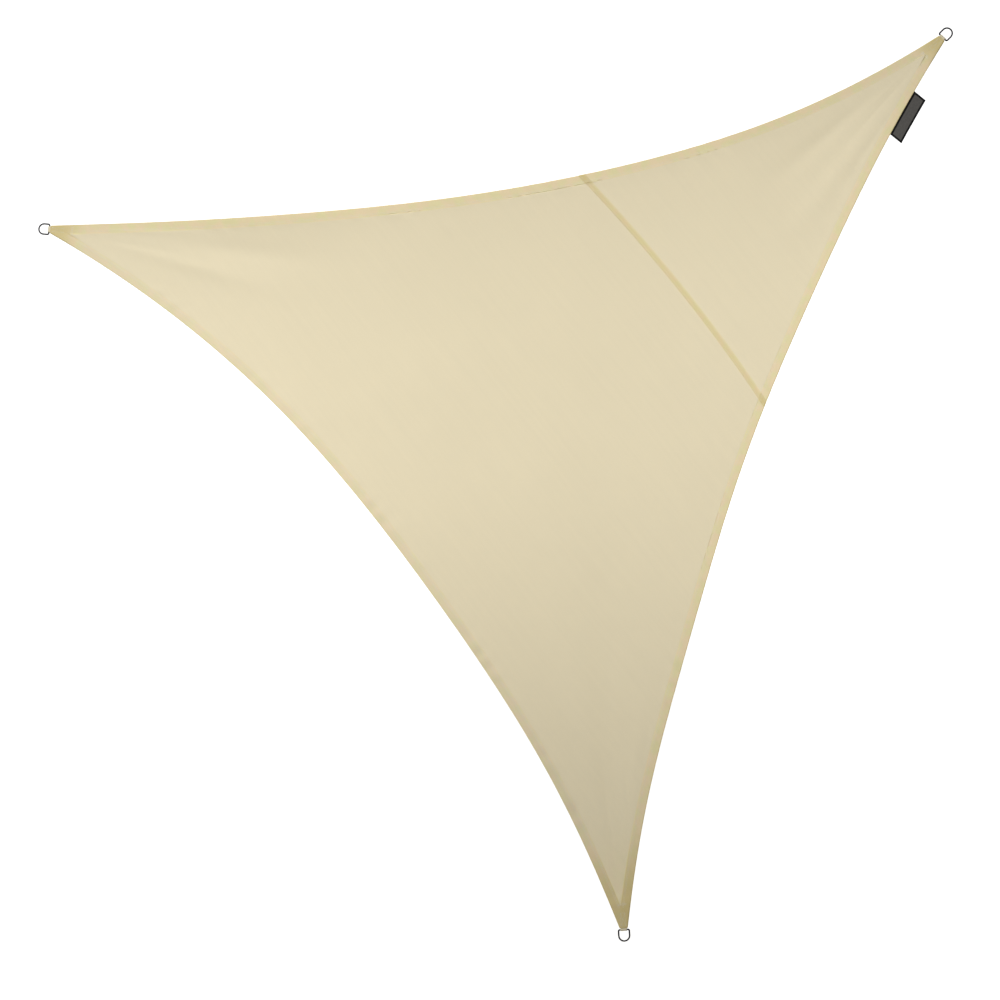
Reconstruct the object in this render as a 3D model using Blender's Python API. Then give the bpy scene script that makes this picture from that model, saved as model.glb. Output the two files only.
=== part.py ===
"""Shade sail: a triangle of knitted shade cloth held taut by a D-ring in each corner.

Two cloth panels are lapped along a seam, each with its hem turned on the curved sides. A loop of
webbing sewn into each corner holds the straight bar of a D-ring, and a bare woven tab is sewn
under one hem. The sail hangs between three supports of different heights, so it slopes, and its
own weight gives it a shallow belly.

Units are metres, +Z is up. The origin is the eye of the high ring, and +X is the level direction
from the left ring to the high one. The sail itself is worked out in its own plane, through the
three ring eyes, and an empty carries that plane to its slope.
"""

import math

import bmesh
import bpy
from mathutils import Matrix, Vector

# The three ring eyes.
SIDE = 3.000  # between any two of them
DROP_LEFT = 0.720  # the left ring hangs this far below the high one
DROP_LOW = 1.260  # and the low ring this far

# The belly: its depth at the middle, and how it fades towards the corners and the sides.
SAG = 0.180
SAG_SQUARE, SAG_CUBE, SAG_FOURTH = 3.2, 2.7, 0.5

# Cloth, hems and the lapped seam.
CLOTH = 0.0012  # one layer
HEM = 0.028  # width of the turned hem, two layers
HEM_STEP = 0.002  # where the hem's second layer ends
LAP = 0.017  # the corner panel covers the main panel by this much along the sides
LAP_RAMP = 0.022  # it comes down beside the main panel over this length
GAP = 0.0003  # between pieces sewn together
LAP_GAP = 0.0008  # between the two panels, whose hems do not lie quite alike
SEAM_ON_TOP = 0.5965  # the seam's end on the top side, as a share of the way from left to high
SEAM_ON_RIGHT = 0.4246  # and on the right side, from high to low
SEAM_BOW = 0.020  # its middle is drawn this far towards the high corner

# Each corner's cut end, with the webbing sewn in between its layers.
TIP_BACK = 0.0225  # ring eye to the cut end
TIP_WIDTH = 0.026
TIP_THICK = 0.0054
TIP_SOLID = 0.075  # the extra layers reach this far in
TIP_FADE = 0.040  # and thin out over this length

# Webbing and rings.
STRAP_WIDTH = 0.020
STRAP_THICK = 0.0012
STRAP_IN = 0.050  # length inside the corner
STRAP_PINCH = math.radians(38)  # its two legs close at this slope behind the bar
STRAP_ARC_STEPS = 20
POCKET_MOUTH = 0.002  # the strap's pocket is cut this far past the cloth's end
WIRE = 0.005
WIRE_SIDES = 12
RING_HALF_LENGTH = 0.0175  # eye centre to the middle of the bar, and to the crown
RING_HALF_WIDTH = 0.0170  # also the radius of the crown, a half circle
RING_BEND = 0.0045  # at both ends of the bar
RING_CROWN_STEPS = 21  # odd, so that a flat of the wire faces the load
RING_BEND_STEPS = 4

# The side tab, under the hem of the right side.
TAB_START = 0.178  # from the cut end of the high corner
TAB_LENGTH = 0.153
TAB_WIDTH = 0.047  # what shows
TAB_TUCK = 0.010  # what the hem covers
TAB_THICK = 0.0010
TAB_GAP = 0.0005
TAB_SKEW = math.radians(12)
TAB_CURL = 0.003  # its free edge turns down

# Cells of the cloth meshes.
CELLS_ACROSS = 24
CELLS_MAIN = 26
CELLS_CORNER = 16
CELLS_TIP = 3
CELLS_TAB = 8
CELLS_TAB_WIDTH = 4
WELD = 0.00002  # points nearer than this are one
TANGENT_STEP = 0.001  # share of a side over which its direction is taken

# Corner: place in the sail's plane, and how far the pull turns its ring off the middle line.
CORNERS = {
    "high": (Vector((0.0, 0.0)), 0.0),
    "left": (Vector((-SIDE, 0.0)), math.radians(9)),
    "low": (Vector((-SIDE / 2, -SIDE * math.sqrt(3) / 2)), math.radians(-4)),
}

# Side: from, to, inward bow, how far the bow leans to its end, and the heights of three waves
# along it, with three, four and five swells.
SIDES = {
    "top": ("left", "high", 0.185, 0.76, (0.0049, -0.0012, 0.0010)),
    "right": ("high", "low", 0.156, 0.00, (0.0016, -0.0024, 0.0036)),
    "left_side": ("low", "left", 0.225, 0.23, (0.0080, 0.0028, 0.0004)),
}
FEWEST_SWELLS = 3

# Tension folds: corner, turn from its centre line in degrees, start, end, half width in degrees
# and height.
FOLDS = [
    ("high", 7.0, 0.15, 0.95, 3.5, 0.0035),
    ("high", -6.0, 0.20, 0.80, 3.0, -0.0030),
    ("left", 8.0, 0.18, 1.35, 3.6, 0.0040),
    ("left", -1.5, 0.30, 1.05, 3.0, -0.0035),
    ("left", -9.5, 0.15, 0.90, 2.8, 0.0030),
    ("low", 8.5, 0.16, 1.10, 3.2, 0.0035),
    ("low", 0.5, 0.25, 1.40, 3.4, -0.0040),
    ("low", -8.0, 0.20, 0.85, 2.8, 0.0030),
]

# Finish: base colour, roughness, metallic.
SAND_CLOTH = ((0.78, 0.69, 0.49, 1.0), 0.85, 0.0)
SAND_WEBBING = ((0.80, 0.73, 0.55, 1.0), 0.80, 0.0)
POLISHED_STEEL = ((0.50, 0.50, 0.50, 1.0), 0.20, 1.0)
CHARCOAL_TAB = ((0.045, 0.042, 0.038, 1.0), 0.70, 0.0)

CENTRE = sum((place for place, _ in CORNERS.values()), Vector((0.0, 0.0))) / 3
REACH = SIDE / math.sqrt(3)  # from the centre to a ring eye
HALF_CORNER = math.radians(30)  # half the angle between two straight lines from eye to eye


def mix(a, b, share):
    """The value or point at this share of the way from a to b."""
    return a * (1 - share) + b * share


def left_of(direction):
    return Vector((-direction.y, direction.x))


def fade(value, start, end):
    """1 up to start, 0 from end on, and smooth between them."""
    share = min(max((end - value) / (end - start), 0.0), 1.0)
    return share * share * (3 - 2 * share)


def even(count):
    return [index / count for index in range(count + 1)]


class Corner:
    """A corner of the cloth: its cut end, the way the ring pulls, and where its hems meet."""

    def __init__(self, name):
        self.eye, pull = CORNERS[name]
        leaving = next(side for side in SIDES.values() if side[0] == name)
        arriving = next(side for side in SIDES.values() if side[1] == name)
        turn_leaving = self.slope(leaving, at_end=False)
        turn_arriving = self.slope(arriving, at_end=True)
        to_centre = (CENTRE - self.eye).normalized()
        turn = (turn_arriving - turn_leaving) / 2 + pull
        self.inward = Matrix.Rotation(turn, 2) @ to_centre
        self.across = left_of(self.inward)
        self.end = self.eye + self.inward * TIP_BACK
        half_angle = HALF_CORNER - (turn_arriving + turn_leaving) / 2
        self.meet_hems(half_angle - pull, half_angle + pull)

    @staticmethod
    def slope(side, at_end):
        """The angle between a side and its straight line, at its start or its end."""
        _, _, bow, lean, waves = side
        rise = 4 * bow * (1 + (lean if at_end else -lean) / 2)
        for swells, height in enumerate(waves, start=FEWEST_SWELLS):
            falls = at_end and swells % 2 == 0
            rise += swells * math.pi * (-height if falls else height)
        return math.atan(rise / (SIDE - 2 * TIP_BACK))

    def meet_hems(self, leaving, arriving):
        """The point one hem away from both sides, which open from the pull at these angles."""
        half = TIP_WIDTH / 2
        rest_leaving = HEM - half * math.cos(leaving)
        rest_arriving = HEM - half * math.cos(arriving)
        depth = rest_leaving * math.cos(arriving) + rest_arriving * math.cos(leaving)
        shift = rest_arriving * math.sin(leaving) - rest_leaving * math.sin(arriving)
        depth /= math.sin(leaving + arriving)
        shift /= math.sin(leaving + arriving)
        self.hem_corner = self.end + self.inward * depth + self.across * shift
        self.foot_leaving = depth * math.cos(leaving) + (shift - half) * math.sin(leaving)
        self.foot_arriving = depth * math.cos(arriving) - (shift + half) * math.sin(arriving)

    def cut_end(self, sign):
        """One end of the cut: +1 where a side starts, -1 where one arrives."""
        return self.end + self.across * sign * TIP_WIDTH / 2


class Side:
    """A curved side of the sail, from corner to corner, with its hem on the right."""

    def __init__(self, name, corners):
        start, end, self.bow, self.lean, self.waves = SIDES[name]
        self.start = corners[start]
        self.end = corners[end]
        self.first = self.start.cut_end(1)
        self.chord = self.end.cut_end(-1) - self.first
        self.length = self.chord.length
        self.inward = -left_of(self.chord) / self.length
        self.foot_at_start = self.start.foot_leaving / self.length
        self.foot_at_end = 1 - self.end.foot_arriving / self.length

    def at(self, t):
        """The point of the cloth's edge at this share of the way."""
        hollow = self.bow * 4 * t * (1 - t) * (1 + self.lean * (t - 0.5))
        for swells, height in enumerate(self.waves, start=FEWEST_SWELLS):
            hollow += height * math.sin(swells * math.pi * t)
        return self.first + self.chord * t + self.inward * hollow

    def direction(self, t):
        return (self.at(t + TANGENT_STEP) - self.at(t - TANGENT_STEP)).normalized()

    def hem_line(self, t):
        """The inner edge of the hem, which ends where two hems meet."""
        if t <= self.foot_at_start + WELD:
            return self.start.hem_corner
        if t >= self.foot_at_end - WELD:
            return self.end.hem_corner
        return self.at(t) - left_of(self.direction(t)) * HEM


class Run:
    """A stretch of a side, from one share of its way to another."""

    def __init__(self, side, start, end):
        self.side = side
        self.start = start
        self.end = end

    def edge(self, v):
        return self.side.at(mix(self.start, self.end, v))

    def hem(self, v):
        return self.side.hem_line(mix(self.start, self.end, v))

    def tip(self, v):
        """The edge and the centre line of the corner past this end of the run."""
        arrives = mix(self.start, self.end, v) > 0.5
        corner = self.side.end if arrives else self.side.start
        foot = self.side.foot_at_end if arrives else self.side.foot_at_start
        edge = Run(self.side, foot, 1.0 if arrives else 0.0).edge
        return edge, lambda share: mix(corner.hem_corner, corner.end, share)


def belly(point):
    """How far the cloth hangs below the plane of the ring eyes."""
    offset = point - CENTRE
    share = offset.length / REACH
    turn = math.atan2(offset.y, offset.x) - math.atan2(-CENTRE.y, -CENTRE.x)
    rise = SAG_SQUARE * share**2 - SAG_CUBE * share**3 * math.cos(3 * turn)
    return SAG * (1 - rise - SAG_FOURTH * share**4)


def tension_folds(point, corners):
    """The soft ridges and troughs that fan out from the corners."""
    height = 0.0
    for name, turn, start, end, half_width, ridge in FOLDS:
        corner = corners[name]
        offset = point - corner.end
        if not start < offset.length < end:
            continue
        angle = math.degrees(math.atan2(offset @ corner.across, offset @ corner.inward))
        along = math.sin(math.pi * (offset.length - start) / (end - start)) ** 2
        height += ridge * along * math.exp(-(((angle - turn) / half_width) ** 2))
    return height


def surface(point, corners):
    """The middle of the cloth over a point of the sail's plane."""
    height = tension_folds(point, corners) - belly(point)
    return Vector((point.x, point.y, height))


def thickness(point, layers, corners):
    """Cloth layers, and the extra ones in a corner."""
    depth = min((point - corner.end).length for corner in corners.values())
    tip = TIP_THICK * fade(depth, TIP_SOLID, TIP_SOLID + TIP_FADE)
    return max(layers * CLOTH, tip)


def patch(bm, columns, rows, place):
    """A grid of cloth between these columns and rows: place gives a vertex its place and
    thickness."""
    weight = bm.verts.layers.deform.verify()
    across, down = len(columns) - 1, len(rows) - 1
    grid = bmesh.ops.create_grid(bm, x_segments=across, y_segments=down, size=0.5)
    for vert in grid["verts"]:
        column = columns[round((vert.co.x + 0.5) * across)]
        row = rows[round((vert.co.y + 0.5) * down)]
        vert.co, thick = place(column, row)
        vert[weight][0] = thick / TIP_THICK


def coons(near, far, first, last):
    """A surface between four curves: near and far run in u, first and last in v."""

    def point(u, v):
        across = mix(first(v), last(v), u)
        along = mix(near(u), far(u), v)
        corners = mix(mix(near(0), near(1), u), mix(far(0), far(1), u), v)
        return across + along - corners

    return point


def seam_bow(share):
    """How far the seam is drawn off its straight line, at this share of the way."""
    return SEAM_BOW * 4 * share * (1 - share)


def cloth_panel(name, first, last, far, rows, layer):
    """A panel between two runs, from the seam to a third run or to their corner.

    rows holds the shares of the panel's depth where its cross lines lie, and layer gives a
    point of so many layers its place and thickness.
    """

    def near_line(u):
        chord = last.hem(0) - first.hem(0)
        return first.hem(0) + chord * u + left_of(chord.normalized()) * seam_bow(u)

    def far_line(u):
        return far.hem(u) if far else first.hem(1)

    step = HEM_STEP / (near_line(1) - near_line(0)).length
    columns = [0.0, step] + even(CELLS_ACROSS)[1:-1] + [1 - step, 1.0]
    if far:
        far_step = HEM_STEP / (far_line(0.5) - near_line(0.5)).length
        rows = rows[:-1] + [1 - far_step, 1.0]
    inside = coons(near_line, far_line, first.hem, last.hem)

    def place_inside(u, v):
        on_hem = u in (0.0, 1.0) or v == 1.0
        return layer(inside(u, v), 2 if on_hem else 1)

    bm = bmesh.new()
    patch(bm, columns, rows, place_inside)

    def strip(outer, inner, shares):
        """A band of hem between two lines."""
        patch(
            bm,
            [0.0, 1.0],
            shares,
            lambda across, share: layer(mix(outer(share), inner(share), across), 2),
        )

    strip(first.edge, first.hem, rows)
    strip(last.edge, last.hem, rows)
    tips = [first.tip(1), last.tip(1)]
    if far:
        strip(far.edge, far.hem, columns)
        tips += [far.tip(0), far.tip(1)]
    for outer, inner in tips:
        strip(outer, inner, even(CELLS_TIP))
    return sheet_object(bm, name, SAND_CLOTH, TIP_THICK)


def sheet_object(bm, name, finish, thick):
    """Welds a sheet's patches, turns it face up and gives it its thickness."""
    bmesh.ops.remove_doubles(bm, verts=bm.verts, dist=WELD)
    bmesh.ops.recalc_face_normals(bm, faces=bm.faces)
    if sum(face.normal.z for face in bm.faces) < 0:
        bmesh.ops.reverse_faces(bm, faces=bm.faces)
    mesh = bpy.data.meshes.new(name)
    bm.to_mesh(mesh)
    bm.free()
    mesh.shade_smooth()
    sheet = add_object(name, mesh, finish)
    sheet.vertex_groups.new(name="layers")
    solidify = sheet.modifiers.new("Thickness", "SOLIDIFY")
    solidify.thickness = thick
    solidify.offset = 0.0
    solidify.vertex_group = "layers"
    return sheet


def material(name, finish):
    colour, roughness, metallic = finish
    made = bpy.data.materials.new(name)
    made.use_nodes = True
    shader = made.node_tree.nodes["Principled BSDF"]
    shader.inputs["Base Color"].default_value = colour
    shader.inputs["Roughness"].default_value = roughness
    shader.inputs["Metallic"].default_value = metallic
    made.diffuse_color = colour
    return made


def add_object(name, data, finish):
    made = bpy.data.objects.new(name, data)
    bpy.context.scene.collection.objects.link(made)
    data.materials.append(material(name, finish))
    return made


def clear_scene():
    for item in list(bpy.data.objects):
        bpy.data.objects.remove(item, do_unlink=True)


def frame_of(x_axis, z_axis):
    """A turned frame with these two axes, as a matrix."""
    return Matrix((x_axis, z_axis.cross(x_axis), z_axis)).transposed().to_4x4()


def sail_plane():
    """The plane through the ring eyes: X to the high ring, Z up out of the cloth."""
    run_left = -math.sqrt(SIDE**2 - DROP_LEFT**2)
    left = Vector((run_left, 0.0, -DROP_LEFT))
    reach_low = run_left**2 - DROP_LOW**2 + (DROP_LEFT - DROP_LOW) ** 2
    low_x = reach_low / (2 * run_left)
    low_y = -math.sqrt(SIDE**2 - DROP_LOW**2 - low_x**2)
    low = Vector((low_x, low_y, -DROP_LOW))
    return frame_of(-left.normalized(), left.cross(low).normalized())


def corner_frame(corner, corners):
    """The place of a corner's hardware: the ring eye, with X outwards and Z up."""
    inside = surface(corner.end + corner.inward * STRAP_IN, corners)
    eye = corner.eye.to_3d()
    outward = (eye - inside).normalized()
    up = outward.cross(-corner.across.to_3d()).normalized()
    return Matrix.Translation(eye) @ frame_of(outward, up)


def ring_path():
    """The middle of the ring's wire: a straight bar, two bends, straight legs and a crown."""
    bar_x = -RING_HALF_LENGTH
    bend_y = RING_HALF_WIDTH - RING_BEND
    crown_x = RING_HALF_LENGTH - RING_HALF_WIDTH
    bend = []
    for share in even(RING_BEND_STEPS):
        angle = math.pi / 2 * share
        x = bar_x + RING_BEND * (1 - math.cos(angle))
        bend.append((x, bend_y + RING_BEND * math.sin(angle)))
    crown = []
    for share in even(RING_CROWN_STEPS):
        angle = math.pi * share
        x = crown_x + RING_HALF_WIDTH * math.sin(angle)
        crown.append((x, RING_HALF_WIDTH * math.cos(angle)))
    return bend + crown + [(x, -y) for x, y in reversed(bend)]


def poly_spline(curve, points, tilt=0.0):
    spline = curve.splines.new("POLY")
    spline.points.add(len(points) - 1)
    for target, (x, y) in zip(spline.points, points):
        target.co = (x, y, 0.0, 1.0)
        target.tilt = tilt
    spline.use_cyclic_u = True


def ring(name):
    """A D-ring of round wire, turned half a facet so that a flat lies along its inner side."""
    curve = bpy.data.curves.new(name, "CURVE")
    curve.dimensions = "3D"
    curve.bevel_depth = WIRE / 2
    curve.bevel_resolution = (WIRE_SIDES - 4) // 2
    poly_spline(curve, ring_path(), tilt=math.pi / WIRE_SIDES)
    return add_object(name, curve, POLISHED_STEEL)


def strap(name):
    """Webbing looped round the ring's bar, its two legs sewn flat into the corner."""
    bar_x = -RING_HALF_LENGTH
    bore = WIRE / 2 + GAP
    outer = bore + STRAP_THICK
    turn = math.pi / 2 + STRAP_PINCH
    outline = []
    for share in even(STRAP_ARC_STEPS):
        angle = mix(-turn, turn, share)
        outline.append((bar_x + outer * math.cos(angle), outer * math.sin(angle)))
    # From where the webbing leaves the bar, its outer face runs down to the flat legs.
    leave = outer * math.sin(STRAP_PINCH)
    drop = outer * math.cos(STRAP_PINCH) - STRAP_THICK
    meet_x = bar_x - leave - drop / math.tan(STRAP_PINCH)
    inner_end = -(TIP_BACK + STRAP_IN)
    outline += [(meet_x, STRAP_THICK), (inner_end, STRAP_THICK)]
    outline += [(inner_end, -STRAP_THICK), (meet_x, -STRAP_THICK)]
    hole = []
    for share in even(STRAP_ARC_STEPS)[:-1]:
        angle = 2 * math.pi * share
        hole.append((bar_x + bore * math.cos(angle), bore * math.sin(angle)))
    curve = bpy.data.curves.new(name, "CURVE")
    curve.dimensions = "2D"
    curve.fill_mode = "BOTH"
    curve.extrude = STRAP_WIDTH / 2
    poly_spline(curve, outline)
    poly_spline(curve, hole)
    return add_object(name, curve, SAND_WEBBING)


def pocket_cutter(name):
    """The room for the webbing's legs between the layers of a corner."""
    mouth = -TIP_BACK + POCKET_MOUTH
    end = -(TIP_BACK + STRAP_IN + GAP)
    size = (mouth - end, STRAP_WIDTH + 2 * GAP, 2 * (STRAP_THICK + GAP))
    bm = bmesh.new()
    bmesh.ops.create_cube(bm, size=1.0)
    bmesh.ops.scale(bm, vec=size, verts=bm.verts)
    bmesh.ops.translate(bm, vec=((mouth + end) / 2, 0.0, 0.0), verts=bm.verts)
    mesh = bpy.data.meshes.new(name)
    bm.to_mesh(mesh)
    bm.free()
    cutter = add_object(name, mesh, SAND_CLOTH)
    cutter.hide_render = True
    cutter.display_type = "WIRE"
    return cutter


def side_tab(side, corners):
    """A woven tab, bare, sewn on a little askew under the hem of a side."""
    middle = side.direction((TAB_START + TAB_LENGTH / 2) / side.length)
    outward = Matrix.Rotation(-TAB_SKEW, 2) @ left_of(middle)
    under = CLOTH + TAB_GAP + TAB_THICK / 2

    def place(along, out):
        edge = side.at((TAB_START + TAB_LENGTH * along) / side.length)
        target = surface(edge + outward * out, corners)
        target.z -= under + TAB_CURL * (max(out, 0.0) / TAB_WIDTH) ** 2
        return target, TIP_THICK

    bm = bmesh.new()
    widths = [-TAB_TUCK] + [TAB_WIDTH * share for share in even(CELLS_TAB_WIDTH)]
    patch(bm, even(CELLS_TAB), widths, place)
    return sheet_object(bm, "side_tab", CHARCOAL_TAB, TAB_THICK)


def cloth_panels(corners, sides):
    """The main panel and, lapped over it along the seam, the panel of the high corner."""
    top, right, left_side = sides["top"], sides["right"], sides["left_side"]
    seam_start = top.at(SEAM_ON_TOP)
    seam_end = right.at(SEAM_ON_RIGHT)
    seam_length = (seam_end - seam_start).length
    seam_along = (seam_end - seam_start) / seam_length
    seam_middle = (seam_start + seam_end) / 2 + left_of(seam_along) * SEAM_BOW

    def main_layer(point, layers):
        return surface(point, corners), thickness(point, layers, corners)

    def corner_layer(point, layers):
        """The lapped edge lies on the main panel and comes down beside it."""
        target, thick = main_layer(point, layers)
        offset = point - seam_start
        share = min(max(offset.dot(seam_along) / seam_length, 0.0), 1.0)
        past_seam = offset.dot(left_of(seam_along)) - seam_bow(share)
        target.z += (thick + LAP_GAP) * fade(past_seam, HEM_STEP / 2, LAP_RAMP)
        return target, thick

    depth = (seam_middle - left_side.at(0.5)).length
    panel_main = cloth_panel(
        "panel_main",
        Run(top, SEAM_ON_TOP, top.foot_at_start),
        Run(right, SEAM_ON_RIGHT, right.foot_at_end),
        Run(left_side, left_side.foot_at_end, left_side.foot_at_start),
        [0.0, LAP / depth] + even(CELLS_MAIN)[1:],
        main_layer,
    )
    lap = LAP / top.length
    depth = (seam_middle - corners["high"].end).length
    ramp = [(LAP + LAP_RAMP * share) / depth for share in (0.0, 0.5, 1.2)]
    panel_corner = cloth_panel(
        "panel_corner",
        Run(top, SEAM_ON_TOP - lap, top.foot_at_end),
        Run(right, SEAM_ON_RIGHT + lap, right.foot_at_start),
        None,
        [0.0] + ramp + even(CELLS_CORNER)[1:],
        corner_layer,
    )
    return panel_main, panel_corner


def fit_corner(name, corners, panel, plane):
    """The ring and the strap of a corner, and the strap's pocket in its panel."""
    frame = corner_frame(corners[name], corners)
    upright = frame @ Matrix.Rotation(math.pi / 2, 4, "X")
    pocket = pocket_cutter("pocket_" + name)
    places = {ring("ring_" + name): frame, strap("strap_" + name): upright, pocket: frame}
    for item, place in places.items():
        item.parent = plane
        item.matrix_local = place
    cut = panel.modifiers.new("Pocket " + name, "BOOLEAN")
    cut.operation = "DIFFERENCE"
    cut.solver = "EXACT"
    cut.object = pocket


def build():
    clear_scene()
    corners = {name: Corner(name) for name in CORNERS}
    sides = {name: Side(name, corners) for name in SIDES}
    plane = bpy.data.objects.new("sail_plane", None)
    bpy.context.scene.collection.objects.link(plane)
    plane.matrix_world = sail_plane()
    panel_main, panel_corner = cloth_panels(corners, sides)
    for item in (panel_main, panel_corner, side_tab(sides["right"], corners)):
        item.parent = plane
    fit_corner("high", corners, panel_corner, plane)
    fit_corner("left", corners, panel_main, plane)
    fit_corner("low", corners, panel_main, plane)


build()
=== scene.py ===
# %% [markdown]
# # A triangular shade sail
# The sail is a triangle of knitted shade cloth, pulled tight between three rings of different
# heights. This lesson dresses its plain solids: it cuts, hems and sews the two cloth panels,
# bends the rings, weaves the webbing and lights the whole.
#
# Nothing here moves or resizes them, so every piece below is worked out in their frame, in
# metres.

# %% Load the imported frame
import functools
import math

import bmesh
import bpy
from mathutils import Matrix, Vector
from mathutils.bvhtree import BVHTree


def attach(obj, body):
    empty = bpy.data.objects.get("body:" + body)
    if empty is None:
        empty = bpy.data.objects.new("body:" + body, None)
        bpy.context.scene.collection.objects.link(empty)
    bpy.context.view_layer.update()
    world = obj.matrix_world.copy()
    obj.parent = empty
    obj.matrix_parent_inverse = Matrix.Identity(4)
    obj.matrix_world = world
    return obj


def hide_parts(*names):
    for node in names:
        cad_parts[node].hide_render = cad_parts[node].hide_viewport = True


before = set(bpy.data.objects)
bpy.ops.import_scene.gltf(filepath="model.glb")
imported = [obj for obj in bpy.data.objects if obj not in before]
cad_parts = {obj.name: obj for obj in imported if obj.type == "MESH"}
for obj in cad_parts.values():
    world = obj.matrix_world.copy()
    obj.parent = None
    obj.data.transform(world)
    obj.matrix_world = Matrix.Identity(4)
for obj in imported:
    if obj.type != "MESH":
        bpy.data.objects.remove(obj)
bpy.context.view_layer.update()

print("Nodes of the frame:", ", ".join(sorted(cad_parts)))

# %% [markdown]
# ## The sizes that drive everything
# A sail maker starts from the distance between the fixing rings and from how deep each side
# is cut in, because hollow sides are what lets the cloth be pulled tight. One could measure
# the solids instead, but named sizes say why a shape is what it is, and the seams, stitches
# and patterns below need the exact curves. They are the sizes that the solids have, but for
# the layers of cloth and the gap in the lap, which are thinner here.

# %% Sizes of the sail
SIDE = 3.000  # between any two ring eyes
DROP_LEFT = 0.720  # the left ring hangs this far below the high one
DROP_LOW = 1.260  # and the low ring this far

SAG = 0.180  # depth of the belly at its middle
SAG_SQUARE, SAG_CUBE, SAG_FOURTH = 3.2, 2.7, 0.5  # and how it fades outwards

CLOTH = 0.0008  # one layer; the plain solids have it thicker, to be solids at all
HEM = 0.028
HEM_STEP = 0.002
LAP = 0.017  # the corner panel covers the main panel by this much
LAP_RAMP = 0.022
GAP = 0.0003
LAP_GAP = 0.0002
SEAM_ON_TOP = 0.5965
SEAM_ON_RIGHT = 0.4246
SEAM_BOW = 0.020  # the seam's middle is drawn this far towards the high corner

TIP_BACK = 0.0225  # ring eye to the cut end of the cloth
TIP_WIDTH = 0.026
TIP_THICK = 0.0054
TIP_SOLID = 0.075
TIP_FADE = 0.040

TANGENT_STEP = 0.001
WELD = 0.00002
HALF_CORNER = math.radians(30)
FEWEST_SWELLS = 3

# Corner: place in the sail's plane, and how far the pull turns its ring off the middle line.
CORNERS = {
    "high": (Vector((0.0, 0.0)), 0.0),
    "left": (Vector((-SIDE, 0.0)), math.radians(9)),
    "low": (Vector((-SIDE / 2, -SIDE * math.sqrt(3) / 2)), math.radians(-4)),
}
# Side: from, to, inward bow, its lean to the end, and three waves with 3, 4 and 5 swells.
SIDES = {
    "top": ("left", "high", 0.185, 0.76, (0.0049, -0.0012, 0.0010)),
    "right": ("high", "low", 0.156, 0.00, (0.0016, -0.0024, 0.0036)),
    "left_side": ("low", "left", 0.225, 0.23, (0.0080, 0.0028, 0.0004)),
}
CENTRE = sum((place for place, _ in CORNERS.values()), Vector((0.0, 0.0))) / 3
REACH = SIDE / math.sqrt(3)

print(f"Sides of {SIDE} m, a belly of {SAG * 1000:.0f} mm and hems of {HEM * 1000:.0f} mm")

# %% [markdown]
# ## Corners and hollow sides
# Each corner of the cloth is cut off square, because the webbing comes out there, and the
# hems of its two sides meet a little way in. Each side is a curve between two cut ends.
# A Bezier curve could be dragged into place by hand; a formula is used here, because the
# hem, its stitches and the panel's grid all need the point at any share of the way.

# %% Corners of the cloth


def mix(a, b, share):
    """The value or point at this share of the way from a to b."""
    return a * (1 - share) + b * share


def left_of(direction):
    return Vector((-direction.y, direction.x))


def fade(value, start, end):
    """1 up to start, 0 from end on, and smooth between them."""
    share = min(max((end - value) / (end - start), 0.0), 1.0)
    return share * share * (3 - 2 * share)


def even(count):
    return [index / count for index in range(count + 1)]


class Corner:
    """A corner of the cloth: its cut end, the way the ring pulls, and where its hems meet."""

    def __init__(self, name):
        self.eye, pull = CORNERS[name]
        leaving = next(side for side in SIDES.values() if side[0] == name)
        arriving = next(side for side in SIDES.values() if side[1] == name)
        turn_leaving = self.slope(leaving, at_end=False)
        turn_arriving = self.slope(arriving, at_end=True)
        turn = (turn_arriving - turn_leaving) / 2 + pull
        self.inward = Matrix.Rotation(turn, 2) @ (CENTRE - self.eye).normalized()
        self.across = left_of(self.inward)
        self.end = self.eye + self.inward * TIP_BACK
        half_angle = HALF_CORNER - (turn_arriving + turn_leaving) / 2
        self.meet_hems(half_angle - pull, half_angle + pull)

    @staticmethod
    def slope(side, at_end):
        """The angle between a side and its straight line, at its start or its end."""
        _, _, bow, lean, waves = side
        rise = 4 * bow * (1 + (lean if at_end else -lean) / 2)
        for swells, height in enumerate(waves, start=FEWEST_SWELLS):
            falls = at_end and swells % 2 == 0
            rise += swells * math.pi * (-height if falls else height)
        return math.atan(rise / (SIDE - 2 * TIP_BACK))

    def meet_hems(self, leaving, arriving):
        """The point one hem away from both sides, which open from the pull at these angles."""
        half = TIP_WIDTH / 2
        rest_leaving = HEM - half * math.cos(leaving)
        rest_arriving = HEM - half * math.cos(arriving)
        depth = rest_leaving * math.cos(arriving) + rest_arriving * math.cos(leaving)
        shift = rest_arriving * math.sin(leaving) - rest_leaving * math.sin(arriving)
        depth /= math.sin(leaving + arriving)
        shift /= math.sin(leaving + arriving)
        self.hem_corner = self.end + self.inward * depth + self.across * shift
        self.foot_leaving = depth * math.cos(leaving) + (shift - half) * math.sin(leaving)
        self.foot_arriving = depth * math.cos(arriving) - (shift + half) * math.sin(arriving)

    def cut_end(self, sign):
        """One end of the cut: +1 where a side starts, -1 where one arrives."""
        return self.end + self.across * sign * TIP_WIDTH / 2

    def at(self, depth, aside):
        """A point of the sail's plane, so far in from the cut end and so far to its left."""
        return self.end + self.inward * depth + self.across * aside


corners = {name: Corner(name) for name in CORNERS}
for name, corner in corners.items():
    to_hems = (corner.hem_corner - corner.end).length
    print(f"Corner {name}: its hems meet {to_hems * 1000:.0f} mm in from the cut end")

# %% [markdown]
# ## A side's formula
# Each side is a flat parabola that leans towards one end, with three weak waves on it for the
# uneven cut. Points of it are asked for again and again by the hem, the panel's grid and the
# stitches, so each answer is kept for the next time.

# %% Sides of the cloth


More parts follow.
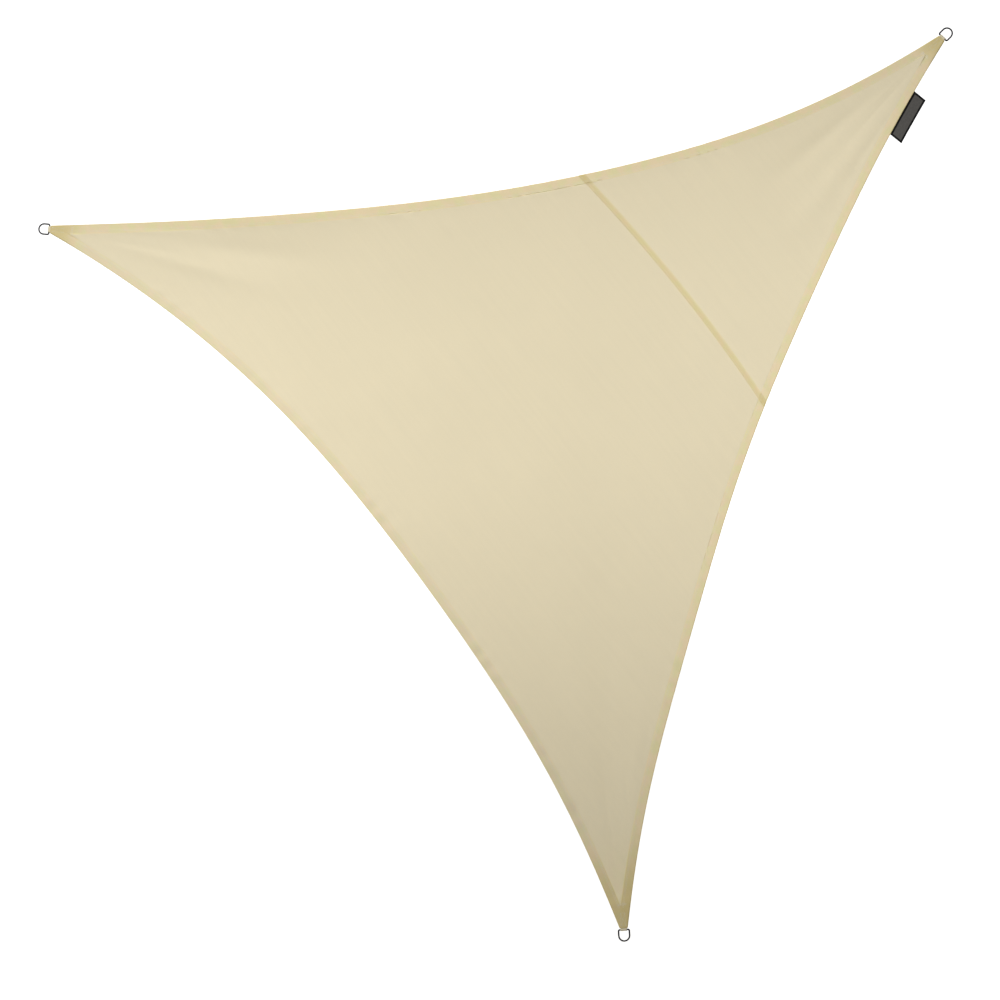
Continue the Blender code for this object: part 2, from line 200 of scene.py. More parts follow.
class Side:
    """A curved side of the sail, from corner to corner, with its hem on the right."""

    def __init__(self, name):
        self.name = name
        start, end, self.bow, self.lean, self.waves = SIDES[name]
        self.start = corners[start]
        self.end = corners[end]
        self.first = self.start.cut_end(1)
        self.chord = self.end.cut_end(-1) - self.first
        self.length = self.chord.length
        self.inward = -left_of(self.chord) / self.length
        self.foot_at_start = self.start.foot_leaving / self.length
        self.foot_at_end = 1 - self.end.foot_arriving / self.length

    @functools.cache
    def at(self, t):
        """The point of the cloth's edge at this share of the way."""
        hollow = self.bow * 4 * t * (1 - t) * (1 + self.lean * (t - 0.5))
        for swells, height in enumerate(self.waves, start=FEWEST_SWELLS):
            hollow += height * math.sin(swells * math.pi * t)
        return self.first + self.chord * t + self.inward * hollow

    @functools.cache
    def direction(self, t):
        return (self.at(t + TANGENT_STEP) - self.at(t - TANGENT_STEP)).normalized()

    def inside(self, t, depth):
        """The point this far in from the edge."""
        return self.at(t) - left_of(self.direction(t)) * depth

    @functools.cache
    def hem_line(self, t):
        """The inner edge of the hem, which ends where two hems meet."""
        if t <= self.foot_at_start + WELD:
            return self.start.hem_corner
        if t >= self.foot_at_end - WELD:
            return self.end.hem_corner
        return self.inside(t, HEM)


sides = {name: Side(name) for name in SIDES}
perimeter = 0.0
for side in sides.values():
    steps = [side.at(share) for share in even(100)]
    perimeter += sum((b - a).length for a, b in zip(steps, steps[1:]))
print(f"The three sides are {perimeter:.2f} m long in all")

# %% [markdown]
# ## How the cloth hangs
# Between the rings the cloth sags a little under its own weight, and each pull sends soft
# ridges and troughs into it, strongest near the corners. Blender's cloth simulation could
# find the sag, but it gives a different edge curve from the one that was cut. A height over
# the sail's plane keeps the outline exact, and each fold is one row of a short table.

# %% Belly, folds and creases
# Corner, turn from its centre line in degrees, start, end, half width in degrees, height.
FOLDS = [
    ("high", 7.0, 0.15, 0.95, 3.5, 0.0035),
    ("high", -6.0, 0.20, 0.80, 3.0, -0.0030),
    ("left", 8.0, 0.18, 1.35, 3.6, 0.0040),
    ("left", -1.5, 0.30, 1.05, 3.0, -0.0035),
    ("left", -9.5, 0.15, 0.90, 2.8, 0.0030),
    ("low", 8.5, 0.16, 1.10, 3.2, 0.0035),
    ("low", 0.5, 0.25, 1.40, 3.4, -0.0040),
    ("low", -8.0, 0.20, 0.85, 2.8, 0.0030),
]
# The finer creases that start right behind the webbing.
CREASES = [
    ("high", 2.4, 0.09, 0.52, 1.3, -0.0005),
    ("high", -2.2, 0.08, 0.38, 1.2, 0.0004),
    ("high", 11.0, 0.16, 0.62, 1.5, -0.0007),
    ("left", 3.2, 0.09, 0.56, 1.2, 0.0009),
    ("left", -5.6, 0.12, 0.48, 1.3, -0.0009),
    ("low", 4.3, 0.09, 0.66, 1.3, -0.0011),
    ("low", -3.7, 0.10, 0.50, 1.2, 0.0009),
]


def belly(point):
    """How far the cloth hangs below the plane of the ring eyes."""
    offset = point - CENTRE
    share = offset.length / REACH
    turn = math.atan2(offset.y, offset.x) - math.atan2(-CENTRE.y, -CENTRE.x)
    rise = SAG_SQUARE * share**2 - SAG_CUBE * share**3 * math.cos(3 * turn)
    return SAG * (1 - rise - SAG_FOURTH * share**4)


def folds_at(point):
    """The height of the ridges and troughs that fan out from the corners."""
    height = 0.0
    for name, turn, start, end, half_width, ridge in FOLDS + CREASES:
        corner = corners[name]
        offset = point - corner.end
        if not start < offset.length < end:
            continue
        angle = math.degrees(math.atan2(offset @ corner.across, offset @ corner.inward))
        along = math.sin(math.pi * (offset.length - start) / (end - start)) ** 2
        height += ridge * along * math.exp(-(((angle - turn) / half_width) ** 2))
    return height


def surface(point):
    """The middle of the cloth over a point of the sail's plane."""
    return Vector((point.x, point.y, folds_at(point) - belly(point)))


def thickness(point, layers):
    """Cloth layers, and the extra ones in a corner."""
    depth = min((point - corner.end).length for corner in corners.values())
    return max(layers * CLOTH, TIP_THICK * fade(depth, TIP_SOLID, TIP_SOLID + TIP_FADE))


print(f"{len(FOLDS)} folds and {len(CREASES)} fine creases fan out from the corners")

# %% [markdown]
# ## The uneven hem
# A long hem is fed through the machine by hand, so it puckers: short swells, no two alike,
# that die out a few centimetres inside the stitching. A noise texture could displace the
# mesh, but it would not follow the edge. Three sines of unrelated lengths, measured along
# the side, give swells that never repeat and are the same at every run.

# %% Puckers along the hems
PUCKER = 0.0009
PUCKER_PITCH = 0.083
PUCKER_DRIFT = 0.310  # over this length the swells crowd together and spread
PUCKER_SURGE = 0.530  # and over this length they grow and shrink
PUCKER_REACH = 0.055  # past the hem
PUCKER_START, PUCKER_FULL = 0.20, 0.42  # none nearer a corner than this, full from there
PUCKER_WANDER = 1.9  # how far the drift shifts a swell, in radians
PUCKER_MEAN, PUCKER_SPREAD = 0.55, 0.45
PUCKER_TURN = 40  # sets the surge of each side apart, by its bow
PUCKER_FLAT = 0.6  # full up to this share of the hem


def pucker(side, t, depth):
    """The height of a pucker at a share of a side, this far in from the edge."""
    if depth > HEM + PUCKER_REACH:
        return 0.0
    along = t * side.length
    to_corner = min(along, side.length - along)
    drift = PUCKER_WANDER * math.sin(math.tau * along / PUCKER_DRIFT)
    swell = math.sin(math.tau * along / PUCKER_PITCH + drift)
    surge = math.sin(math.tau * along / PUCKER_SURGE + side.bow * PUCKER_TURN)
    strength = PUCKER_MEAN + PUCKER_SPREAD * surge
    room = 1 - fade(to_corner, PUCKER_START, PUCKER_FULL)
    return PUCKER * swell * strength * room * fade(depth, HEM * PUCKER_FLAT, HEM + PUCKER_REACH)


print(f"Puckers of up to {PUCKER * 1000:.1f} mm, about {PUCKER_PITCH * 1000:.0f} mm apart")

# %% [markdown]
# ## A folded hem
# The edge of the cloth is turned under by 28 mm and sewn down, so the hem is two layers with
# a soft fold at the very edge. Extruding the border twice would make it, but the fold would
# then have hard corners. Here a flat grid is bent round a section instead: out along the top
# layer, round the fold, and back under. A grid from bmesh already has good quads, and each
# of its vertices only needs to be told where on the cloth it lies.

# %% The hem's section, and how a grid becomes cloth
TOP_SHARES = (1.0, 0.93, 0.8, 0.55, 0.3, 0.1, 0.0)
FOLD_ANGLES = (50, 0, -50)
UNDER_SHARES = (0.0, 0.2, 0.5, 0.8, 1.0)
HEM_PUFF = 0.0003  # the fold stands this much fuller than the stitched edge
HEM_CELLS = 3  # cells of a hem beside each cell of the panel
RISE = 0.035  # the panel comes up to the hem's top over this width

SECTION = [(share, 90) for share in TOP_SHARES]
SECTION += [(0.0, angle) for angle in FOLD_ANGLES]
SECTION += [(share, -90) for share in UNDER_SHARES]


def half_stack(point, layers):
    """Half the distance between the middles of the outer layers of a stack."""
    return (thickness(point, layers) - CLOTH) / 2


def on_section(outer, inner, station):
    """Where a station of the hem's section lies between the edge and the hem's inner line:
    the point of the plane, its height over the cloth's middle, and its depth."""
    share, angle = SECTION[station]
    width = (inner - outer).length
    half = half_stack(mix(outer, inner, share), 2) + HEM_PUFF * (1 - share**2)
    turn = math.radians(angle)
    room = width - CLOTH / 2 - half
    depth = CLOTH / 2 + half * (1 - math.cos(turn)) + room * share
    return mix(outer, inner, depth / width), half * math.sin(turn), depth


def finer(shares, parts):
    """The shares again, each stretch between two of them cut into equal parts."""
    cut = [mix(a, b, part / parts) for a, b in zip(shares, shares[1:]) for part in range(parts)]
    return cut + [shares[-1]]


def bend_grid(bm, columns, rows, place, split=None):
    """A grid of cloth between these columns and rows. place gives a vertex its spot, its
    thickness and its count of layers, and split says which edges are cut as fine as a hem."""
    thick = bm.verts.layers.deform.verify()
    stack = bm.verts.layers.float["layers"]
    before = set(bm.verts)
    across, down = len(columns) - 1, len(rows) - 1
    grid = bmesh.ops.create_grid(bm, x_segments=across, y_segments=down, size=0.5)
    for vert in grid["verts"]:
        vert.co.x = columns[round((vert.co.x + 0.5) * across)]
        vert.co.y = rows[round((vert.co.y + 0.5) * down)]
    if split:
        rim = [edge for edge in bm.edges if split(edge)]
        bmesh.ops.subdivide_edges(bm, edges=rim, cuts=HEM_CELLS - 1)
    for vert in set(bm.verts) - before:
        vert.co, thickness_here, vert[stack] = place(vert.co.x, vert.co.y)
        vert[thick][0] = thickness_here / TIP_THICK


print(f"A hem's section has {len(SECTION)} stations")

# %% [markdown]
# ## Cutting the two panels
# Shade cloth comes off a roll, so a sail is wider than the cloth and has a seam. The main
# panel carries two corners and the corner panel the third. Between its hems a panel is a
# Coons patch: a grid that follows four border curves at once, which keeps the rows along the
# pull. Loose triangulation would fill the outline too, but its triangles would show in the
# soft shading. Only the cells next to a hem are cut finer, where the puckers need them.

# %% Grid of a panel
LAP_EDGE = 0.5  # a panel's cut edge, pressed flat, is this share of the cloth's thickness


def coons(near, far, first, last):
    """A surface between four curves: near and far run in u, first and last in v."""

    def point(u, v):
        across = mix(first(v), last(v), u)
        along = mix(near(u), far(u), v)
        ends = mix(mix(near(0), near(1), u), mix(far(0), far(1), u), v)
        return across + along - ends

    return point


class Run:
    """A stretch of a side, from one share of its way to another. Its hem line can start at
    another share than its edge does, where the seam cuts the side aslant."""

    def __init__(self, side, start, end, hem_start=None):
        self.side = side
        self.start = start
        self.end = end
        self.hem_start = start if hem_start is None else hem_start
        self.deepens = HEM_SHADE_LAYERS[side.name]

    def t(self, v):
        return mix(self.start, self.end, v)

    def edge(self, v):
        return self.side.at(self.t(v))

    def hem(self, v):
        return self.side.hem_line(mix(self.hem_start, self.end, v))

    def pucker(self, v, depth):
        return pucker(self.side, self.t(v), depth)

    def tip(self, v):
        """The stretch past this end of the run, to the cut end, and the corner's centre line."""
        arrives = self.t(v) > 0.5
        corner = self.side.end if arrives else self.side.start
        foot = self.side.foot_at_end if arrives else self.side.foot_at_start
        rest = Run(self.side, foot, 1.0 if arrives else 0.0)
        return rest, lambda share: mix(corner.hem_corner, corner.end, share)


def on_rim(edge, far):
    """Whether a grid edge lies along a hem."""
    a, b = (vert.co for vert in edge.verts)
    along_sides = a.x == b.x and a.x in (0.0, 1.0)
    return along_sides or (far is not None and a.y == b.y == 1.0)


def cut_panel(name, past, first, last, far, columns, rows, raised):
    """A panel between two runs, from so far past the seam to a third run or to their corner.
    raised lifts a point of the panel."""
    ends = [with_the_roll(run.hem(0))[1] / seam_length for run in (first, last)]

    def near_line(u):
        return seam_at(mix(*ends, u), past)

    def far_line(u):
        return far.hem(u) if far else first.hem(1)

    inside = coons(near_line, far_line, first.hem, last.hem)

    def place_inside(u, v):
        point = inside(u, v)
        on_hem = u in (0.0, 1.0) or v == 1.0
        thick = thickness(point, 2 if on_hem else 1)
        spot = surface(point)
        beside = [(first, v), (last, v)] + ([(far, u)] if far else [])
        to_hem = [(point - run.hem(share)).length for run, share in beside]
        spot.z += raised(point, thick) + half_stack(point, 2) * fade(min(to_hem), 0.0, RISE)
        for (run, share), distance in zip(beside, to_hem):
            spot.z += run.pucker(share, HEM + distance)
        if on_hem or v == 0.0:
            thick = CLOTH * (LAP_EDGE if v == 0.0 else 1.0)
        return spot, thick, painted_layer_shade(point, 1.0 + (beside[0][0].deepens if on_hem else 0.0))

    bm = bmesh.new()
    bm.verts.layers.float.new("layers")
    bend_grid(bm, columns, rows, place_inside, lambda edge: on_rim(edge, far))

    def fold_hem(run, inner, shares):
        """The hem of a run, bent from the panel's edge round to its underside."""

        def place(station, share):
            station = round(station)
            point, height, depth = on_section(run.edge(share), inner(share), station)
            spot = surface(point)
            thick = thickness(point, 2)
            spot.z += height + raised(point, thick) + run.pucker(share, depth)
            return spot, CLOTH, painted_layer_shade(point, 1 + run.deepens, depth)

        bend_grid(bm, list(range(len(SECTION))), shares, place)

    fold_hem(first, first.hem, finer(rows, HEM_CELLS))
    fold_hem(last, last.hem, finer(rows, HEM_CELLS))
    tips = [first.tip(1), last.tip(1)]
    if far:
        fold_hem(far, far.hem, finer(columns, HEM_CELLS))
        tips += [far.tip(0), far.tip(1)]
    for rest, centre_line in tips:
        fold_hem(rest, centre_line, even(TIP_CELLS)[:-1] + [1 - TIP_RIM, 1.0])
    return sheet_object(bm, name, TIP_THICK)


print("A panel is one Coons patch, with a strip of hem on each free side")

# %% [markdown]
# ## From a flat grid to a piece of cloth
# The patches meet vertex on vertex, so removing doubles welds them into one skin. The weave
# is drawn on a UV map in metres that runs with the roll of cloth, along the seam. Then the
# skin moves from the sail's own plane to its place between the supports, and a Solidify
# modifier gives it the thickness that its vertex group asks for.

# %% The sail's plane, and a sheet of cloth in it


def frame_of(x_axis, z_axis):
    """A turned frame with these two axes, as a matrix."""
    return Matrix((x_axis, z_axis.cross(x_axis), z_axis)).transposed().to_4x4()


def sail_plane():
    """The plane through the ring eyes: X to the high ring, Z up out of the cloth."""
    run_left = -math.sqrt(SIDE**2 - DROP_LEFT**2)
    left = Vector((run_left, 0.0, -DROP_LEFT))
    reach_low = run_left**2 - DROP_LOW**2 + (DROP_LEFT - DROP_LOW) ** 2
    low_x = reach_low / (2 * run_left)
    low_y = -math.sqrt(SIDE**2 - DROP_LOW**2 - low_x**2)
    low = Vector((low_x, low_y, -DROP_LOW))
    return frame_of(-left.normalized(), left.cross(low).normalized())


PLANE = sail_plane()


def add_object(name, bm, smooth=True):
    """The mesh as an object at the origin, its place in its points."""
    mesh = bpy.data.meshes.new(name)
    bm.to_mesh(mesh)
    bm.free()
    if smooth:
        mesh.shade_smooth()
    made = bpy.data.objects.new(name, mesh)
    bpy.context.scene.collection.objects.link(made)
    print(f"{name}: {len(mesh.vertices)} points and {len(mesh.polygons)} faces")
    return made


def sheet_object(bm, name, thick):
    """Welds a sheet's patches, turns it face up, and gives it its thickness."""
    bmesh.ops.remove_doubles(bm, verts=bm.verts, dist=WELD)
    bmesh.ops.recalc_face_normals(bm, faces=bm.faces)
    if sum(face.normal.z * face.calc_area() for face in bm.faces) < 0:
        bmesh.ops.reverse_faces(bm, faces=bm.faces)
    roll = bm.loops.layers.uv.new("roll")
    for face in bm.faces:
        for loop in face.loops:
            loop[roll].uv = with_the_roll(loop.vert.co.xy)
    bmesh.ops.transform(bm, matrix=PLANE, verts=bm.verts)
    sheet = add_object(name, bm)
    sheet.vertex_groups.new(name="thickness")
    solidify = sheet.modifiers.new("Thickness", "SOLIDIFY")
    solidify.thickness = thick
    solidify.offset = 0.0
    solidify.vertex_group = "thickness"
    return sheet


print("The plane's Z axis:", [round(part, 3) for part in PLANE.col[2][:3]])

# %% [markdown]
# ## The line of the seam
# The seam bows a little, because the cloth is cut to follow the belly. It crosses two hollow
# sides and their hems aslant, so the places where it meets them are found by halving: the
# stretch that holds the crossing is cut in two until it is short enough. Solving for them
# would need the inverse of each side's formula.

# %% The seam's line
CROSSES = (0.3, 0.8)  # the seam meets its two sides between these shares
HALVINGS = 24
seam_start = sides["top"].at(SEAM_ON_TOP)
seam_end = sides["right"].at(SEAM_ON_RIGHT)
seam_length = (seam_end - seam_start).length
seam_along = (seam_end - seam_start) / seam_length
seam_square = left_of(seam_along)


def seam_bow(share):
    """How far the seam is drawn off its straight line, at this share of the way."""
    return SEAM_BOW * 4 * share * (1 - share)


def with_the_roll(point):
    """A point's place on the roll of cloth: across it, and along it."""
    offset = point - seam_start
    return offset.dot(seam_square), offset.dot(seam_along)


def past_seam(point):
    """How far a point lies beyond the seam, towards the high corner."""
    across, along = with_the_roll(point)
    return across - seam_bow(min(max(along / seam_length, 0.0), 1.0))


def seam_at(share, past):
    """The point at this share of the seam's way, moved so far towards the high corner."""
    return mix(seam_start, seam_end, share) + seam_square * (seam_bow(share) + past)


def crossing(line, past):
    """The share of the way at which a line of a side lies so far past the seam."""
    low, high = CROSSES
    starts_before = past_seam(line(low)) < past
    for _ in range(HALVINGS):
        middle = (low + high) / 2
        if (past_seam(line(middle)) < past) == starts_before:
            low = middle
        else:
            high = middle
    return low


def run_from_seam(side, past, end):
    """The run of a side from so far past the seam to one of its ends."""
    return Run(side, crossing(side.at, past), end, crossing(side.hem_line, past))


print(f"The seam is {seam_length:.2f} m long")

# %% [markdown]
# ## How deep the colour is painted, as shade of the layers
# Where layers lie on each other less light comes through, and this is painted into the colour:
# the sand colour is painted deeper, as painted shade. Each point of the cloth carries its count
# of layers, made larger where the photo is deeper: in the lap, at the very edge, where the
# fold's shade is painted, and in the corners, where the low corner's long reach is painted
# shade too. The material reads the count as an attribute, which a painted image would blur.

# %% Painted shade of the layers
# Hems and the lap are painted deeper: painted shade for the light that their stacked layers hold
# back.
HEM_SHADE_LAYERS = {"top": 1.0, "right": 1.0, "left_side": 0.6}
LAP_SHADE_LAYERS = 2.0  # a lapped seam looks as deep as this many more layers
TIP_LAYERS_AND_SHADE = 2.2  # and so do the layers in a corner, most of all in its hems
TIP_INSIDE = 0.2
# Corner: the hems are deepest up to here from the cut end, and plain from there on. The low corner's
# reach runs far past its extra layers, as painted shade.
TIP_LAYER_AND_SHADE_REACH = {"high": (0.010, 0.110), "left": (0.020, 0.130), "low": (0.030, 0.360)}
LAP_SOFT = 0.0015
# Painted shade of the rolled fold along the very edge, counted as more layers.
EDGE_PAINTED_SHADE = 1.2  # and the fold at the very edge
EDGE_SHADE_WIDTH = 0.0035


def painted_layer_shade(point, layers, from_edge=HEM):
    """How deep the cloth's colour is painted, counted in layers: painted shade of stacked layers, of
    the fold at the edge and of the corners.
    """
    tips = [fade((point - corners[name].end).length, *reach) for name, reach in TIP_LAYER_AND_SHADE_REACH.items()]
    # Corners are painted deeper for their extra layers; at the low corner this is painted shade well
    # beyond them.
    deep = layers + TIP_LAYERS_AND_SHADE * max(tips) * (1.0 if layers > 1 else TIP_INSIDE)
    deep += LAP_SHADE_LAYERS * fade(abs(past_seam(point) + LAP / 2), LAP / 2, LAP / 2 + LAP_SOFT)
    # The fold at the very edge gets its painted shade.
    return deep + EDGE_PAINTED_SHADE * fade(from_edge, EDGE_SHADE_WIDTH / 2, EDGE_SHADE_WIDTH)


print(f"A hem is {1 + HEM_SHADE_LAYERS['top']:.0f} deep, and its corner {2 + TIP_LAYERS_AND_SHADE:.1f}")

# %% [markdown]
# ## The main panel
# It lies under the seam, and it is the larger of the two: it runs from the seam to the long
# hollow side between the left and the low ring. A few rows lie close together at the seam,
# so that the double layer there has a sharp edge.

# %% Main panel
CELLS_ACROSS = 190
CELLS_MAIN = 112
CELLS_CORNER = 104
CELLS_CORNER_ACROSS = 120
TIP_CELLS = 16
TIP_RIM = 0.012  # a row this close to the cut end keeps its edge crisp
LAP_ROWS = (0.0, 0.03, 0.5, 0.98, 1.02)  # shares of the lap's width

top, right, left_side = sides["top"], sides["right"], sides["left_side"]
seam_middle = (seam_start + seam_end) / 2 + seam_square * SEAM_BOW


def hem_columns(count, width):
    """Even columns, with one close to each hem where its second layer ends."""
    step = HEM_STEP / width
    return [0.0, step] + even(count)[1:-1] + [1 - step, 1.0]


main_depth = (seam_middle - left_side.at(0.5)).length
main_rows = [share * LAP / main_depth for share in LAP_ROWS] + even(CELLS_MAIN)[2:-1]
panel_main = cut_panel(
    "panel_main",
    0.0,
    run_from_seam(top, 0.0, top.foot_at_start),
    run_from_seam(right, 0.0, right.foot_at_end),
    Run(left_side, left_side.foot_at_end, left_side.foot_at_start),
    hem_columns(CELLS_ACROSS, seam_length),
    main_rows + [1 - HEM_STEP / main_depth, 1.0],
    lambda point, thick: 0.0,
)

# %% [markdown]
# ## The corner panel
# The corner panel is laid over the edge of the main panel and sewn to it with two rows, so
# rain runs off the seam. Past the seam line it comes down beside the main panel over a
# short ramp, which is a smooth step added to its height.

# %% Corner panel
RAMP_ROWS = (0.2, 0.5, 0.8, 1.1)  # shares of the ramp's length
ROW_ROOM = 0.005  # the even rows start this share of the panel behind them


def over_main(point, thick):
    """How far the corner panel is raised by the panel it is lapped over."""
    return (thick + LAP_GAP) * fade(past_seam(point), HEM_STEP / 2, LAP_RAMP)


corner_depth = (seam_middle - corners["high"].end).length
ramp_rows = [(LAP + LAP_RAMP * share) / corner_depth for share in RAMP_ROWS]
corner_rows = [share * LAP / corner_depth for share in LAP_ROWS] + ramp_rows
corner_rows += [share for share in even(CELLS_CORNER) if share > ramp_rows[-1] + ROW_ROOM]
panel_corner = cut_panel(
    "panel_corner",
    -LAP,
    run_from_seam(top, -LAP, top.foot_at_end),
    run_from_seam(right, -LAP, right.foot_at_start),
    None,
    hem_columns(CELLS_CORNER_ACROSS, seam_length),
    corner_rows,
    over_main,
)

# %% [markdown]
# ## Sewing
# Thread shows as a row of short raised stitches on both faces. Bump could fake them, but a
# stitch that catches the light at its own place looks right from close by, and twenty faces
# are enough for one. Each row is a chain of points that know which way the thread runs.
# A ray square to the sail finds the cloth at that spot, so a stitch lies on whatever folds
# are there. Geometry nodes put one small icosphere, pulled long, on every point and join them
# all into one mesh, which is far quicker than adding thousands of spheres one by one.

# %% Rows of stitches
STITCH_PITCH = 0.0036
STITCH_LENGTH = 0.0031
STITCH_WIDTH = 0.0008
STITCH_HEIGHT = 0.0007
STITCH_SUNK = 0.0001
HEM_ROWS = (0.0035, 0.0075)  # from the hem's inner edge
SEAM_ROWS = (-0.0035, -0.0135)  # past the seam line
SEAM_INSET = 0.003  # and this far in from the edges
BOX_IN, BOX_OUT, BOX_HALF = 0.046, 0.006, 0.0075
BAR_DEPTHS = (0.070, 0.074)  # zigzag bars, from the cut end
ZIGZAG = 0.0022


graph = bpy.context.evaluated_depsgraph_get()
skins = [BVHTree.FromObject(panel, graph) for panel in (panel_main, panel_corner)]
upwards = PLANE.to_3x3() @ Vector((0.0, 0.0, 1.0))


def face_of(point, top_face):
    """The spot where a ray square to the sail's plane meets the cloth, from above or below."""
    way = upwards if top_face else -upwards
    start = PLANE @ point.to_3d() + way
    met = [skin.ray_cast(start, -way)[0] for skin in skins]
    nearest = max((spot for spot in met if spot), key=way.dot)
    return nearest - way * STITCH_SUNK


def stitch_nodes():
    """Geometry nodes: a stitch on every point, turned the way that the point says."""
    group = bpy.data.node_groups.new("stitches", "GeometryNodeTree")
    group.interface.new_socket("Rows", in_out="INPUT", socket_type="NodeSocketGeometry")
    group.interface.new_socket("Thread", in_out="OUTPUT", socket_type="NodeSocketGeometry")

    def node(kind, settings, links):
        made = group.nodes.new(kind)
        for key, value in settings.items():
            setattr(made, key, value)
        for key, value in links.items():
            if isinstance(value, bpy.types.NodeSocket):
                group.links.new(value, made.inputs[key])
            else:
                made.inputs[key].default_value = value
        return made.outputs[0] if made.outputs else None

    rows = node("NodeGroupInput", {}, {})
    along = node("GeometryNodeInputNamedAttribute", {"data_type": "FLOAT_VECTOR"}, {"Name": "along"})
    turn = node("FunctionNodeAlignRotationToVector", {"axis": "X"}, {"Vector": along})
    ball = node("GeometryNodeMeshIcoSphere", {}, {"Radius": 0.5, "Subdivisions": 1})
    size = (STITCH_LENGTH, STITCH_WIDTH, STITCH_HEIGHT)
    stitch = node("GeometryNodeTransform", {}, {"Geometry": ball, "Scale": size})
    laid = {"Points": rows, "Instance": stitch, "Rotation": turn}
    laid = node("GeometryNodeInstanceOnPoints", {}, laid)
    node("NodeGroupOutput", {}, {0: node("GeometryNodeRealizeInstances", {}, {0: laid})})
    return group


STITCHES = stitch_nodes()


def new_rows():
    bm = bmesh.new()
    bm.verts.layers.float_vector.new("along")
    return bm


def sew(bm, spots):
    """A point for a stitch between each spot of a row and the next."""
    along = bm.verts.layers.float_vector["along"]
    for first, second in zip(spots, spots[1:]):
        bm.verts.new((first + second) / 2)[along] = second - first


def thread_object(bm, name):
    """The rows as an object, each point made into a stitch."""
    thread = add_object(name, bm)
    thread.modifiers.new("Stitches", "NODES").node_group = STITCHES
    ready = thread.evaluated_get(bpy.context.evaluated_depsgraph_get())
    mesh = bpy.data.meshes.new_from_object(ready)
    mesh.shade_smooth()
    thread.modifiers.clear()
    thread.data = mesh
    print(f"{name}: {len(mesh.polygons) // 20} stitches")
    return thread


def hem_thread(name, row):
    """One row of stitches round the three hems, on both faces."""
    bm = new_rows()
    depth = HEM - row
    for side in sides.values():
        count = round(side.length * (side.foot_at_end - side.foot_at_start) / STITCH_PITCH)
        stops = [mix(side.foot_at_start, side.foot_at_end, share) for share in even(count)]
        for top_face in (True, False):
            sew(bm, [face_of(side.inside(t, depth), top_face) for t in stops])
    return thread_object(bm, name)


hem_threads = [hem_thread(f"hem_thread_{index + 1}", row) for index, row in enumerate(HEM_ROWS)]

# %% [markdown]
# ## Stitches of the seam
# Two rows hold the lap, each from edge to edge. A curve could be drawn and its points read
# back, but the seam's own formula gives them at once, each the same distance past the seam.

# %% Seam stitches


def seam_thread(name):
    """Two rows along the lap, from edge to edge, on both faces."""
    bm = new_rows()
    for past in SEAM_ROWS:
        edges = [with_the_roll(side.at(crossing(side.at, past)))[1] for side in (top, right)]
        start, end = edges[0] + SEAM_INSET, edges[1] - SEAM_INSET
        count = round((end - start) / STITCH_PITCH)
        shares = [mix(start, end, share) / seam_length for share in even(count)]
        for top_face in (True, False):
            sew(bm, [face_of(seam_at(share, past), top_face) for share in shares])
    return thread_object(bm, name)


seam_threads = seam_thread("seam_thread")

# %% [markdown]
# ## Stitches of the corners
# In each corner a box with a cross holds the webbing, and two zigzag bars cross the cloth
# where the pull of the webbing goes into it. They are drawn in the plane of the sail, as a
# maker would mark them, and the same rays lay them on the cloth.

# %% Corner stitches


def along_lines(points):
    """Spots a stitch apart along straight lines from point to point."""
    spots = []
    for first, second in zip(points, points[1:]):
        count = max(round((second - first).length / STITCH_PITCH), 1)
        spots += [mix(first, second, share) for share in even(count)[:-1]]
    return spots + [points[-1]]


def corner_thread(name):
    """A box with a cross over the webbing, and the zigzag bars behind it."""
    bm = new_rows()
    for corner in corners.values():
        box = [(BOX_IN, BOX_HALF), (BOX_OUT, BOX_HALF), (BOX_OUT, -BOX_HALF), (BOX_IN, -BOX_HALF)]
        lines = [box + [box[0], box[2]], [box[1], box[3]]]
        for depth in BAR_DEPTHS:
            half = (depth - BOX_IN) * math.tan(HALF_CORNER / 2) + BOX_HALF
            count = round(2 * half / ZIGZAG)
            steps = [mix(-half, half, share) for share in even(count)]
            lines.append([(depth + ZIGZAG * (i % 2), aside) for i, aside in enumerate(steps)])
        for line in lines:
            spots = along_lines([corner.at(depth, aside) for depth, aside in line])
            for top_face in (True, False):
                sew(bm, [face_of(point, top_face) for point in spots])
    return thread_object(bm, name)


corner_threads = corner_thread("corner_thread")

# %% [markdown]
# ## The rings
# A D-ring is a length of round wire, bent and welded. A torus would give only a round one,
# and a bevelled curve pinches at tight bends. Here one circle is drawn, pushed straight and
# spun round each bend in turn, as the wire is in the bending jig, until it meets its start.

# %% D-rings
STRAP_WIDTH = 0.020
STRAP_THICK = 0.0012
STRAP_IN = 0.050
STRAP_PINCH = math.radians(38)
WIRE = 0.005
WIRE_FACETS = 28
RING_HALF_LENGTH = 0.0175
RING_HALF_WIDTH = 0.0170
RING_BEND = 0.0045
BEND_STEPS = 12
CROWN_STEPS = 56


def corner_frame(corner):
    """The place of a corner's hardware: the ring eye, with X outwards and Z up."""
    inside = surface(corner.at(STRAP_IN, 0.0))
    eye = corner.eye.to_3d()
    outward = (eye - inside).normalized()
    up = outward.cross(-corner.across.to_3d()).normalized()
    return PLANE @ Matrix.Translation(eye) @ frame_of(outward, up)


